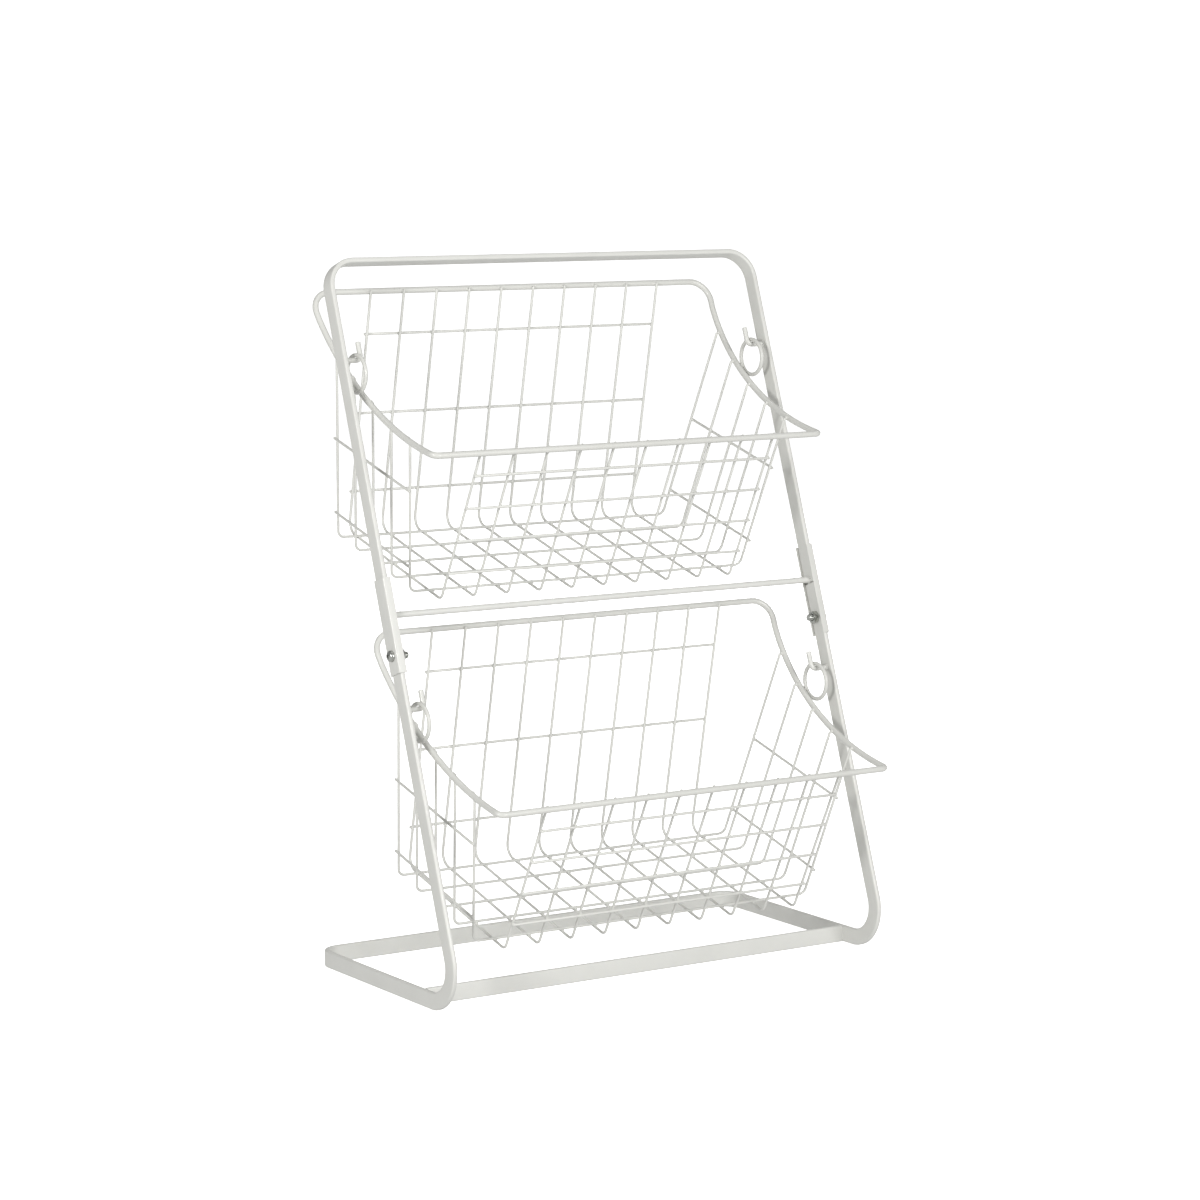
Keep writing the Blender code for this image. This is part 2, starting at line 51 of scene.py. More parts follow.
BAR_THICKNESS = 0.0045
BAR_EDGE_RADIUS = 0.0015
LEAN_ANGLE = math.radians(19.8)
LEG_LENGTH = 0.663
TOP_CORNER_RADIUS = 0.0265
FRONT_BEND_RADIUS = 0.038
BASE_DEPTH = 0.250
BASE_CORNER_RADIUS = 0.020
FRONT_BAR_SETBACK = 0.067
LEG_JOINT_HEIGHT = 0.3463
CHANNEL_DROP = 0.0481
CHANNEL_LENGTH = 0.083
CHANNEL_WALL = 0.001
CHANNEL_BEND_RADIUS = 0.001
CHANNEL_OVERRUN = 0.0013
CROSSBAR_DIAMETER = 0.0055
CROSSBAR_RISE = 0.0030
SCREW_DROP = 0.0320
SCREW_SHANK_DIAMETER = 0.0060
SCREW_HEAD_DIAMETER = 0.0100
SCREW_HEAD_HEIGHT = 0.0039
SCREW_END_LENGTH = 0.0040
NUT_ACROSS_FLATS = 0.010
NUT_THICKNESS = 0.0050
HOLE_CLEARANCE = 0.0003
UPPER_HOOK_HEIGHT = 0.5733
LOWER_HOOK_HEIGHT = 0.2672
HOOK_DIAMETER = 0.0046
HOOK_RISE = 0.0160
BASKET_TILT = math.radians(15.4)
FLOOR_DEPTH = 0.1656
BACK_HEIGHT = 0.2176
FRONT_HEIGHT = 0.1461
BACK_FLARE = math.radians(4.6)
FRONT_FLARE = math.radians(10.9)
SIDE_FLARE = math.radians(8.7)
REAR_BEND_RADIUS = 0.012
FRONT_WIRE_BEND_RADIUS = 0.006
SIDE_BEND_RADIUS = 0.007
RIM_DIAMETER = 0.0055
RIM_REAR_RADIUS = 0.018
RIM_FRONT_RADIUS = 0.006
RIM_REAR_SWEEP_LENGTH = 0.064
RIM_REAR_SWEEP_ANGLE = math.radians(49.8)
RIM_FRONT_SWEEP_LENGTH = 0.0967
RIM_FRONT_SWEEP_ANGLE = math.radians(7.0)
WIRE_DIAMETER = 0.0024
LONG_WIRE_COUNT = 10
LONG_WIRE_MARGIN = 0.022
LONG_WIRE_END_RISE = 0.002
CROSS_WIRE_COUNT = 5
CROSS_WIRE_FRONT_MARGIN = 0.016
CROSS_WIRE_REAR_MARGIN = 0.0202
BACK_RAIL_COUNT = 3
BACK_RAIL_HEIGHT = 0.0352
BACK_RAIL_PITCH = 0.0721
FRONT_RAIL_COUNT = 4
FRONT_RAIL_HEIGHT = 0.0269
FRONT_RAIL_PITCH = 0.0321
SIDE_RAIL_COUNT = 2
SIDE_RAIL_HEIGHT = 0.0265
SIDE_RAIL_PITCH = 0.0701
LONG_RAIL_OVERHANG = 0.0020
SIDE_RAIL_OVERHANG = 0.0030
WELD_DEPTH = 0.0005
RING_DIAMETER = 0.0323
RING_WIRE_DIAMETER = 0.0036
RING_SETBACK = 0.0958
RING_INSET = 0.0117
SEAT_GAP = 0.0003

# How finely the pieces are made
BEND_STEPS = 8
BAR_BEND_STEPS = 16
EDGE_STEPS = 5
RIM_SWEEP_STEPS = 36
RING_STEPS = 48
WIRE_SIDES = 12
ROD_SIDES = 16
BEAD_SIDES = 8
NUT_STEPS = 72
SCREW_STEPS = 36
HEAD_DOME_STEPS = 12
THREAD_ROWS = 28
NUGGET_SUBDIVISIONS = 2
HALVING_STEPS = 40
CORNER_CLEARANCE_SHARE = 1.3
SECTION_START = Vector((0.31, 0.52, 0.79))  # no wire or rod runs along it
COATED_SMOOTH_ANGLE = math.radians(40.0)
NUT_SMOOTH_ANGLE = math.radians(25.0)
SCREW_SMOOTH_ANGLE = math.radians(30.0)

# Small forms that only the looks have; the two lists of end shares are pairs of a ring's
# distance in from the end, as a share of the diameter, and its scale
DOME_END_SHARES = ((0.0, 0.30), (0.16, 0.62), (0.38, 0.86), (0.62, 1.0))
CUT_END_SHARES = ((0.0, 0.8), (0.1, 1.0))
BAR_END_CHAMFER = 0.0008
CHANNEL_EDGE_ROUND = 0.00025
CHANNEL_EDGE_SEGMENTS = 2
CHANNEL_EDGE_ANGLE = math.radians(50.0)
NUGGET_REACH_SHARE = 1.5
RING_NUGGET_ALONG = Vector((0.0, 0.94, 0.34))
RING_NUGGET_ACROSS = Vector((0.0, -0.34, 0.94))
RING_FOOT_DEGREES = range(175, 85, -1)  # from the ring's foot up its rear side
BEAD_RADIUS = 0.0011
FRONT_BAR_BEAD_SHARE = 1.6
CROSSBAR_BEAD_SHARE = 0.8
HOOK_BEAD_SHARE = 0.7
BEAD_WAVES = ((5, 0.05, 0), (11, 0.04, 1))  # waves round the bead, height share, start
NUT_CROWN_SHARE = 0.97
NUT_CHAMFER_ANGLE = math.radians(30.0)
NUT_BORE_CHAMFER = 0.0003
HEAD_DOME_RADIUS_POWER = 0.8
HEAD_DOME_HEIGHT_POWER = 0.9
HEAD_EDGE_HEIGHT = 0.0004
HEAD_EDGE_CHAMFER = 0.0002
THREAD_PITCH = 0.001
THREAD_DEPTH = 0.00035
THREAD_TIP_TAPER = 0.0006
THREAD_FADE_ROWS = 4
RECESS_DEPTH = 0.0022
RECESS_TURN = math.radians(20.0)
RECESS_LEVELS = ((0.0, 0.00108, 0.00052), (0.0044, 0.00312, 0.00078))  # height, half sizes

# Materials: colours with their shade, and for the coats the tone of worn edges; noises as
# scale, detail and roughness; bumps as strength and distance
WHITE = (1.0, 1.0, 1.0, 1.0)
STAND_COLOURS = ((0.66, 0.66, 0.625, 1.0), (0.62, 0.62, 0.585, 1.0), (0.72, 0.72, 0.695, 1.0))
BASKET_COLOURS = ((0.65, 0.65, 0.615, 1.0), (0.61, 0.61, 0.575, 1.0), (0.71, 0.71, 0.685, 1.0))
ZINC_COLOURS = ((0.60, 0.61, 0.58, 1.0), (0.42, 0.43, 0.40, 1.0))
FLOOR_COLOURS = ((0.93, 0.93, 0.925, 1.0), (0.91, 0.91, 0.905, 1.0))
COAT_CLOUD = (24.0, 4.0, 0.55)
COAT_SPECK = (1400.0, 2.0, 0.5)
COAT_SHEEN = (60.0, 5.0, 0.6)
COAT_SWELL = (140.0, 2.0, 0.5)
COAT_PEEL = (700.0, 3.0, 0.5)
ZINC_PATCHES = (260.0, 4.0, 0.6)
ZINC_SHEEN = (900.0, 3.0, 0.6)
ZINC_MARKS = (2600.0, 3.0, 0.6)
FLOOR_CLOUD = (3.0, 3.0, 0.5)
NOISE_RANGE = (0.3, 0.7)
MIX_INPUTS = (0, 6, 7)  # places of a colour mix's factor and its two colours
MIX_OUTPUT = 2
SPECK_SHARE = 0.10
WORN_POINTINESS = (0.54, 0.66)
WORN_SHARE = 0.35
SWELL_WEIGHT = 2.0
COAT_BUMP = (0.18, 0.0002)
ZINC_BUMP = (0.15, 0.0001)
COAT_ROUGHNESS = (0.32, 0.44)
ZINC_ROUGHNESS = (0.14, 0.30)
COAT_INPUTS = {"IOR": 1.5, "Coat Weight": 0.20, "Coat Roughness": 0.18}
ZINC_INPUTS = {"Metallic": 1.0}
FLOOR_INPUTS = {"Emission Color": WHITE, "Emission Strength": 0.78,
                "Roughness": 0.9, "Specular IOR Level": 0.2}

# Floor and light; the world is brighter below the horizon, where the pale floor would be
FLOOR_REACH = 5.0
FLOOR_CURVE_RADIUS = 1.2
FLOOR_WALL_HEIGHT = 7.0
FLOOR_STEPS = 72
FLOOR_CURVE_STEPS = 16
WORLD_STRENGTH_BELOW = 0.67
WORLD_STRENGTH_ABOVE = 0.33
WORLD_HORIZON_BAND = (-0.15, 0.15)
LIGHT_TARGET = Vector((0.0, 0.05, 0.3))
LIGHTS = {  # place, width and height, power, and whether it shows in reflections
    "key": ((-1.9, -0.8, 0.95), (0.45, 0.45), 21.5, True),
    "front": ((0.4, -3.2, 1.2), (1.6, 1.2), 63.0, True),
    "top": ((0.0, -0.3, 3.0), (1.6, 1.6), 6.0, True),
    "rear": ((2.3, 2.3, 1.9), (1.2, 1.2), 42.0, False)}

# The camera, solved from the photograph
IMAGE_SIZE = 1200.0
SENSOR_WIDTH = 36.0
FOCAL_PIXELS = 3628.17
IMAGE_CENTRE = (593.77, 613.24)
CAMERA_PLACE = (-1.75346, -2.57186, 0.75412)
CAMERA_HEADING = math.radians(-33.495)
CAMERA_TILT = math.radians(90.0 - 7.9751)
CAMERA_ROLL = math.radians(0.2078)
CAMERA_FAR_END = 50.0

# Directions, and what is worked out from the sizes
ACROSS = Vector((1.0, 0.0, 0.0))
REARWARD = Vector((0.0, 1.0, 0.0))
SIDES = (("left", -1), ("right", 1))
BAR_CENTRE_X = (FRAME_WIDTH - BAR_THICKNESS) / 2
BAR_INNER_X = FRAME_WIDTH / 2 - BAR_THICKNESS
LEG_MIDDLE = BAR_DEPTH / 2
ORIGIN_SHIFT = FRONT_BAR_SETBACK + BAR_THICKNESS / 2
CHANNEL_FOOT_HEIGHT = LEG_JOINT_HEIGHT - CHANNEL_DROP
SCREW_HEIGHT = LEG_JOINT_HEIGHT - SCREW_DROP
WIRE_OFFSET = WIRE_DIAMETER + SEAT_GAP
RIM_OFFSET = (RIM_DIAMETER + WIRE_DIAMETER) / 2 + SEAT_GAP
RING_REACH = BAR_INNER_X - RING_INSET
RIM_TO_RING = (RIM_DIAMETER + RING_WIRE_DIAMETER) / 2 + SEAT_GAP
HOOK_TO_RING = (HOOK_DIAMETER + RING_WIRE_DIAMETER) / 2 + SEAT_GAP

STAND_PLACE = Matrix.Translation((0.0, -ORIGIN_SHIFT, 0.0))
LEANING_PLACE = STAND_PLACE @ Matrix.Rotation(-LEAN_ANGLE, 4, "X")


# Paths, as in the part's source

def rounded_corner(before, corner, after, radius, steps):
    """Points of the arc that rounds a corner."""
    towards_before = (before - corner).normalized()
    towards_after = (after - corner).normalized()
    half_angle = towards_before.angle(towards_after) / 2
    start = corner + towards_before * (radius / math.tan(half_angle))
    towards_centre = (towards_before + towards_after).normalized()
    centre = corner + towards_centre * (radius / math.sin(half_angle))
    outward = (start - centre).normalized()
    turn = math.pi - 2 * half_angle
    points = []
    for step in range(steps + 1):
        angle = turn * step / steps
        direction = math.cos(angle) * outward - math.sin(angle) * towards_before
        points.append(centre + radius * direction)
    return points


def bent_path(corners, steps):
    """A path through (point, bend radius) corners, with every bend rounded."""
    points = []
    for index, (corner, radius) in enumerate(corners):
        if radius:
            before = corners[index - 1][0]
            after = corners[(index + 1) % len(corners)][0]
            points.extend(rounded_corner(before, corner, after, radius, steps))
        else:
            points.append(corner)
    return points


def mirrored(corners):
    return [(Vector((-point.x, point.y, point.z)), radius)
            for point, radius in reversed(corners)]


def leg_point(x, along):
    """A point on a leg's middle line, in the stand's upright frame."""
    y = along * math.sin(LEAN_ANGLE) + LEG_MIDDLE * math.cos(LEAN_ANGLE)
    z = along * math.cos(LEAN_ANGLE) - LEG_MIDDLE * math.sin(LEAN_ANGLE)
    return Vector((x, y, z))


def back_depth(height, outward=0.0):
    return FLOOR_DEPTH + height * math.tan(BACK_FLARE) + outward / math.cos(BACK_FLARE)


def front_depth(height, outward=0.0):
    return -height * math.tan(FRONT_FLARE) - outward / math.cos(FRONT_FLARE)


def side_reach(height, outward=0.0):
    rise = height - rim_height(RING_SETBACK + RING_DIAMETER / 2)
    inward = (RIM_OFFSET - outward) / math.cos(SIDE_FLARE)
    return RING_REACH - RIM_TO_RING + rise * math.tan(SIDE_FLARE) - inward


def evenly(count, first, pitch):
    return [first + pitch * index for index in range(count)]


def rim_sweep(share):
    """Depth and height of the rim's side at a share of the way from back to front."""
    back = Vector((back_depth(BACK_HEIGHT, RIM_OFFSET), BACK_HEIGHT))
    front = Vector((front_depth(FRONT_HEIGHT, RIM_OFFSET), FRONT_HEIGHT))
    back_pull = back - RIM_REAR_SWEEP_LENGTH * Vector(
        (math.cos(RIM_REAR_SWEEP_ANGLE), math.sin(RIM_REAR_SWEEP_ANGLE)))
    front_pull = front + RIM_FRONT_SWEEP_LENGTH * Vector(
        (math.cos(RIM_FRONT_SWEEP_ANGLE), -math.sin(RIM_FRONT_SWEEP_ANGLE)))
    rest = 1 - share
    return (rest ** 3 * back + 3 * rest ** 2 * share * back_pull
            + 3 * rest * share ** 2 * front_pull + share ** 3 * front)


def rim_height(depth):
    """Height of the rim's side above a depth, found by halving."""
    low, high = 0.0, 1.0
    for _ in range(HALVING_STEPS):
        middle = (low + high) / 2
        if rim_sweep(middle)[0] > depth:
            low = middle
        else:
            high = middle
    return rim_sweep(high)[1]


def rim_path():
    """Closed loop: high straight back, swept sides and low straight front."""
    places = [rim_sweep(step / RIM_SWEEP_STEPS) for step in range(RIM_SWEEP_STEPS + 1)]
    back, front = places[0], places[-1]
    side = [(back, RIM_REAR_RADIUS)]
    for place in places[1:-1]:
        clear_of_back = (place - back).length > CORNER_CLEARANCE_SHARE * RIM_REAR_RADIUS
        clear_of_front = (place - front).length > CORNER_CLEARANCE_SHARE * RIM_FRONT_RADIUS
        if clear_of_back and clear_of_front:
            side.append((place, 0.0))
    side.append((front, RIM_FRONT_RADIUS))
    corners = [(Vector((side_reach(height, RIM_OFFSET), depth, height)), radius)
               for (depth, height), radius in side]
    return bent_path(corners + mirrored(corners), BEND_STEPS)


def long_wire_path():
    back_top = BACK_HEIGHT + LONG_WIRE_END_RISE
    front_top = FRONT_HEIGHT + LONG_WIRE_END_RISE
    corners = [
        (Vector((0.0, back_depth(back_top), back_top)), 0.0),
        (Vector((0.0, FLOOR_DEPTH, 0.0)), REAR_BEND_RADIUS),
        (Vector((0.0, 0.0, 0.0)), FRONT_WIRE_BEND_RADIUS),
        (Vector((0.0, front_depth(front_top), front_top)), 0.0)]
    return bent_path(corners, BEND_STEPS)


def cross_wire_depths():
    spread = FLOOR_DEPTH - CROSS_WIRE_FRONT_MARGIN - CROSS_WIRE_REAR_MARGIN
    return evenly(CROSS_WIRE_COUNT, CROSS_WIRE_FRONT_MARGIN, spread / (CROSS_WIRE_COUNT - 1))


def long_wire_places():
    reach = side_reach(0.0) - LONG_WIRE_MARGIN
    return evenly(LONG_WIRE_COUNT, -reach, 2 * reach / (LONG_WIRE_COUNT - 1))


def cross_wire_path(depth):
    top = rim_height(depth)
    left = [
        (Vector((-side_reach(top), depth, top)), 0.0),
        (Vector((-side_reach(WIRE_OFFSET), depth, WIRE_OFFSET)), SIDE_BEND_RADIUS)]
    return bent_path(left + mirrored(left), BEND_STEPS)


def side_rail_paths():
    depths = cross_wire_depths()
    start = depths[0] - SIDE_RAIL_OVERHANG
    end = depths[-1] + SIDE_RAIL_OVERHANG
    paths = []
    for height in evenly(SIDE_RAIL_COUNT, SIDE_RAIL_HEIGHT, SIDE_RAIL_PITCH):
        for _, side in SIDES:
            x = side * side_reach(height, WIRE_DIAMETER - WELD_DEPTH)
            paths.append([Vector((x, start, height)), Vector((x, end, height))])
    return paths


def ring_centre(side):
    height = rim_height(RING_SETBACK) + RING_DIAMETER / 2
    return Vector((side * RING_REACH, RING_SETBACK, height))


def ring_path(side):
    points = []
    for step in range(RING_STEPS):
        angle = 2 * math.pi * step / RING_STEPS
        points.append(RING_DIAMETER / 2 * Vector((0.0, math.sin(angle), math.cos(angle))))
    return [point + ring_centre(side) for point in points]


def ring_weld_place(side):
    """Where the ring crosses the rim behind its foot, between the two rods."""
    centre = ring_centre(side)
    for degrees in RING_FOOT_DEGREES:
        angle = math.radians(degrees)
        depth = centre.y + RING_DIAMETER / 2 * math.sin(angle)
        height = centre.z + RING_DIAMETER / 2 * math.cos(angle)
        if height > rim_height(depth):
            break
    return Vector((side * (RING_REACH - RING_WIRE_DIAMETER / 2 - SEAT_GAP), depth, height))


def hinge_in_basket():
    rise = RING_DIAMETER / 2 - HOOK_TO_RING
    centre = ring_centre(1)
    return Vector((0.0, centre.y + rise * math.sin(BASKET_TILT),
                   centre.z + rise * math.cos(BASKET_TILT)))


def basket_place(hook_height):
    """Matrix from a basket's own frame to the shared one."""
    return (LEANING_PLACE @ Matrix.Translation((0.0, LEG_MIDDLE, hook_height))
            @ Matrix.Rotation(LEAN_ANGLE + BASKET_TILT, 4, "X")
            @ Matrix.Translation(-hinge_in_basket()))


# Mesh building

def round_point(radius, angle, z):
    return (radius * math.cos(angle), radius * math.sin(angle), z)


def path_tangents(points, closed):
    tangents = []
    count = len(points)
    for index in range(count):
        before = points[index - 1] if closed or index else points[index]
        after = points[(index + 1) % count] if closed or index < count - 1 else points[index]
        tangents.append((after - before).normalized())
    return tangents


def carried_normals(tangents, first, closed):
    """Normals carried along the path with the least twist, closed up evenly on a loop."""
    normals = [(first - first.dot(tangents[0]) * tangents[0]).normalized()]
    for before, after in zip(tangents, tangents[1:]):
        turn = before.rotation_difference(after)
        normal = turn @ normals[-1]
        normals.append((normal - normal.dot(after) * after).normalized())
    if closed:
        back = tangents[-1].rotation_difference(tangents[0]) @ normals[-1]
        twist = math.atan2(back.cross(normals[0]).dot(tangents[0]), back.dot(normals[0]))
        for index, tangent in enumerate(tangents):
            turn = Matrix.Rotation(twist * index / len(tangents), 3, tangent)
            normals[index] = turn @ normals[index]
    return normals


def bridge(work, here, there):
    """Faces between two closed rings of points."""
    for index in range(len(here)):
        follow = (index + 1) % len(here)
        work.faces.new((here[index], here[follow], there[follow], there[index]))


def add_sweep(work, points, section, first_normal, closed=False, ends=()):
    """Sweeps a section along a path. Ends are (distance in from the end, scale) rings."""
    tangents = path_tangents(points, closed)
    normals = carried_normals(tangents, first_normal, closed)
    stations = [(point, tangent, normal, 1.0)
                for point, tangent, normal in zip(points, tangents, normals)]
    if ends:
        first, last = stations[0], stations[-1]
        head = [(first[0] + distance * first[1], first[1], first[2], scale)
                for distance, scale in ends]
        tail = [(last[0] - distance * last[1], last[1], last[2], scale)
                for distance, scale in reversed(ends)]
        stations = head + stations[1:-1] + tail
    rings = []
    for point, tangent, normal, scale in stations:
        across = tangent.cross(normal)
        rings.append([work.verts.new(point + scale * (u * normal + v * across))
                      for u, v in section])
    for here, there in zip(rings, rings[1:]):
        bridge(work, here, there)
    if closed:
        bridge(work, rings[-1], rings[0])
    else:
        work.faces.new(list(reversed(rings[0])))
        work.faces.new(rings[-1])


def round_section(diameter, sides):
    return [(diameter / 2 * math.cos(2 * math.pi * step / sides),
             diameter / 2 * math.sin(2 * math.pi * step / sides)) for step in range(sides)]


def bar_section():
    """Flat bar's section as (thickness, depth) points with rounded edges."""
    points = []
    for quarter, (u, v) in enumerate(((1, 1), (-1, 1), (-1, -1), (1, -1))):
        centre_u = u * (BAR_THICKNESS / 2 - BAR_EDGE_RADIUS)
        centre_v = v * (BAR_DEPTH / 2 - BAR_EDGE_RADIUS)
        for step in range(EDGE_STEPS + 1):
            angle = math.pi / 2 * (quarter + step / EDGE_STEPS)
            points.append((centre_u + BAR_EDGE_RADIUS * math.cos(angle),
                           centre_v + BAR_EDGE_RADIUS * math.sin(angle)))
    return points


def add_rod(work, points, diameter, sides=ROD_SIDES, end_shares=(), closed=False):
    """Round rod. Its ends are flat where no end shares are given."""
    ends = [(share * diameter, scale) for share, scale in end_shares]
    add_sweep(work, points, round_section(diameter, sides), SECTION_START, closed, ends)


def add_wire(work, points, diameter, sides=WIRE_SIDES):
    """Round wire with softly domed ends."""
    add_rod(work, points, diameter, sides, DOME_END_SHARES)


def add_bar(work, points, thickness_direction):
    ends = ((0.0, 1 - 2 * BAR_END_CHAMFER / BAR_THICKNESS), (BAR_END_CHAMFER, 1.0))
    add_sweep(work, points, bar_section(), thickness_direction, ends=ends)


def add_nugget(work, place, along, across):
    """Small weld between two wires: a flattened ball at their crossing."""
    reach = NUGGET_REACH_SHARE * WIRE_DIAMETER / 2
    stack = along.cross(across).normalized()
    turn = Matrix((along, across, stack)).transposed().to_4x4()
    scale = Matrix.Diagonal((reach, reach, WIRE_DIAMETER / 2, 1.0))
    bmesh.ops.create_icosphere(work, subdivisions=NUGGET_SUBDIVISIONS, radius=1.0,
                               matrix=Matrix.Translation(place) @ turn @ scale)


def add_bead(work, centre, rod_diameter, share):
    """Fillet weld round the end of a rod along X, as a slightly uneven ring."""
    first = ACROSS.orthogonal().normalized()
    second = ACROSS.cross(first)
    points = []
    for step in range(RING_STEPS):
        angle = 2 * math.pi * step / RING_STEPS
        uneven = 1
        for count, height, start in BEAD_WAVES:
            uneven += height * math.sin(count * angle + start)
        points.append(centre + rod_diameter / 2 * uneven
                      * (math.cos(angle) * first + math.sin(angle) * second))
    section = round_section(2 * (BEAD_RADIUS * share), BEAD_SIDES)
    add_sweep(work, points, section, ACROSS, closed=True)


def add_object(name, data):
    item = bpy.data.objects.new(name, data)
    bpy.context.scene.collection.objects.link(item)
    return item


def smooth_faces(mesh):
    for face in mesh.polygons:
        face.use_smooth = True


def finish_piece(work, name, place, material, body, nodes,
                 smooth_angle=COATED_SMOOTH_ANGLE):
    """Turns built geometry into a named piece that rides on its body."""
    bmesh.ops.transform(work, matrix=place, verts=work.verts)
    bmesh.ops.recalc_face_normals(work, faces=work.faces)
    mesh = bpy.data.meshes.new(name)
    work.to_mesh(mesh)
    work.free()
    mesh.materials.append(material)
    smooth_faces(mesh)
    mesh.set_sharp_from_angle(angle=smooth_angle)
    piece = add_object(name, mesh)
    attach(piece, body)
    if nodes:
        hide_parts(*nodes)
    return piece


# Materials

def add_node(tree, kind, **values):
    node = tree.nodes.new(kind)
    for name, value in values.items():
        setattr(node, name, value)
    return node


def set_inputs(node, values):
    for name, value in values.items():
        node.inputs[name].default_value = value


def noise(tree, coordinates, settings):
    node = add_node(tree, "ShaderNodeTexNoise")
    set_inputs(node, dict(zip(("Scale", "Detail", "Roughness"), settings)))
    tree.links.new(coordinates, node.inputs["Vector"])
    return node.outputs["Fac"]


def remap(tree, value, low, high, source=NOISE_RANGE):
    """Spreads the source range of a value over low to high, and holds it there beyond."""
    node = add_node(tree, "ShaderNodeMapRange")
    set_inputs(node, {"From Min": source[0], "From Max": source[1], "To Min": low, "To Max": high})
    tree.links.new(value, node.inputs["Value"])
    return node.outputs["Result"]


def mix_colour(tree, factor, first, second):
    """Mixes two colours, each of them a value or a socket."""
    node = add_node(tree, "ShaderNodeMix", data_type="RGBA")
    for place, value in zip(MIX_INPUTS, (factor, first, second)):
        if isinstance(value, tuple):
            node.inputs[place].default_value = value
        else:
            tree.links.new(value, node.inputs[place])
    return node.outputs[MIX_OUTPUT]


def link_bump(tree, shader, height, strength, distance):
    bump = add_node(tree, "ShaderNodeBump")
    set_inputs(bump, {"Strength": strength, "Distance": distance})
    tree.links.new(height, bump.inputs["Height"])
    tree.links.new(bump.outputs["Normal"], shader.inputs["Normal"])


def start_material(name):
    """A new material, its nodes, its shader and its object coordinates."""
    material = bpy.data.materials.new(name)
    material.use_nodes = True
    tree = material.node_tree
    coordinates = add_node(tree, "ShaderNodeTexCoord").outputs["Object"]
    return material, tree, tree.nodes["Principled BSDF"], coordinates


def powder_coat(name, colour, shade, worn):
    """Satin powder coat: fine orange peel, cloudy tone, thin coat on sharp edges."""
    material, tree, shader, coordinates = start_material(name)
    cloud = remap(tree, noise(tree, coordinates, COAT_CLOUD), 0.0, 1.0)
    toned = mix_colour(tree, cloud, colour, shade)
    speck = remap(tree, noise(tree, coordinates, COAT_SPECK), 0.0, SPECK_SHARE)
    grained = mix_colour(tree, speck, toned, shade)
    point = add_node(tree, "ShaderNodeNewGeometry").outputs["Pointiness"]
    edge = remap(tree, point, 0.0, WORN_SHARE, WORN_POINTINESS)
    tree.links.new(mix_colour(tree, edge, grained, worn), shader.inputs["Base Color"])
    sheen = remap(tree, noise(tree, coordinates, COAT_SHEEN), *COAT_ROUGHNESS)
    tree.links.new(sheen, shader.inputs["Roughness"])
    height = add_node(tree, "ShaderNodeMath", operation="MULTIPLY_ADD")
    tree.links.new(noise(tree, coordinates, COAT_SWELL), height.inputs[0])
    height.inputs[1].default_value = SWELL_WEIGHT
    tree.links.new(noise(tree, coordinates, COAT_PEEL), height.inputs[2])
    link_bump(tree, shader, height.outputs[0], *COAT_BUMP)
    set_inputs(shader, COAT_INPUTS)
    return material


def zinc_plate(name):
    """Bright zinc plate: metal with faint tumbling marks and duller patches."""
    material, tree, shader, coordinates = start_material(name)
    patches = remap(tree, noise(tree, coordinates, ZINC_PATCHES), 0.0, 1.0)
    tree.links.new(mix_colour(tree, patches, *ZINC_COLOURS), shader.inputs["Base Color"])
    sheen = remap(tree, noise(tree, coordinates, ZINC_SHEEN), *ZINC_ROUGHNESS)
    tree.links.new(sheen, shader.inputs["Roughness"])
    link_bump(tree, shader, noise(tree, coordinates, ZINC_MARKS), *ZINC_BUMP)
    set_inputs(shader, ZINC_INPUTS)
    return material


def floor_paper(name):
    """Pale paper that gives a little light of its own, so that it stays white."""
    material, tree, shader, coordinates = start_material(name)
    cloud = remap(tree, noise(tree, coordinates, FLOOR_CLOUD), 0.0, 1.0)
    tree.links.new(mix_colour(tree, cloud, *FLOOR_COLOURS), shader.inputs["Base Color"])
    set_inputs(shader, FLOOR_INPUTS)
    return material


STAND_COAT = powder_coat("stand_powder_coat", *STAND_COLOURS)
BASKET_COAT = powder_coat("basket_powder_coat", *BASKET_COLOURS)
ZINC = zinc_plate("zinc_plate_finish")


# The stand

def finish_coated(work, node, place=LEANING_PLACE):
    return finish_piece(work, node + "_coated", place, STAND_COAT, "stand", [node])


def finish_plated(work, node, place, smooth_angle):
    return finish_piece(work, node + "_plated", place, ZINC, "stand", [node],
                        smooth_angle)


def make_upper_frame():
    foot = LEG_JOINT_HEIGHT + SEAT_GAP
    top = LEG_LENGTH - BAR_THICKNESS / 2
    left = [
        (Vector((-BAR_CENTRE_X, LEG_MIDDLE, foot)), 0.0),
        (Vector((-BAR_CENTRE_X, LEG_MIDDLE, top)), TOP_CORNER_RADIUS - BAR_THICKNESS / 2)]
    work = bmesh.new()
    add_bar(work, bent_path(left + mirrored(left), BAR_BEND_STEPS), ACROSS)
    finish_coated(work, "upper_frame")


def make_lower_frame():
    middle = BAR_DEPTH / 2
    bend_y = middle * (1 + math.sin(LEAN_ANGLE)) / math.cos(LEAN_ANGLE)
    rear_y = BASE_DEPTH - BAR_THICKNESS / 2
    left = [
        (leg_point(-BAR_CENTRE_X, LEG_JOINT_HEIGHT), 0.0),
        (Vector((-BAR_CENTRE_X, bend_y, middle)), FRONT_BEND_RADIUS - BAR_DEPTH / 2),
        (Vector((-BAR_CENTRE_X, rear_y, middle)), BASE_CORNER_RADIUS - BAR_THICKNESS / 2)]
    work = bmesh.new()
    add_bar(work, bent_path(left + mirrored(left), BAR_BEND_STEPS), ACROSS)
    finish_coated(work, "lower_frame", STAND_PLACE)


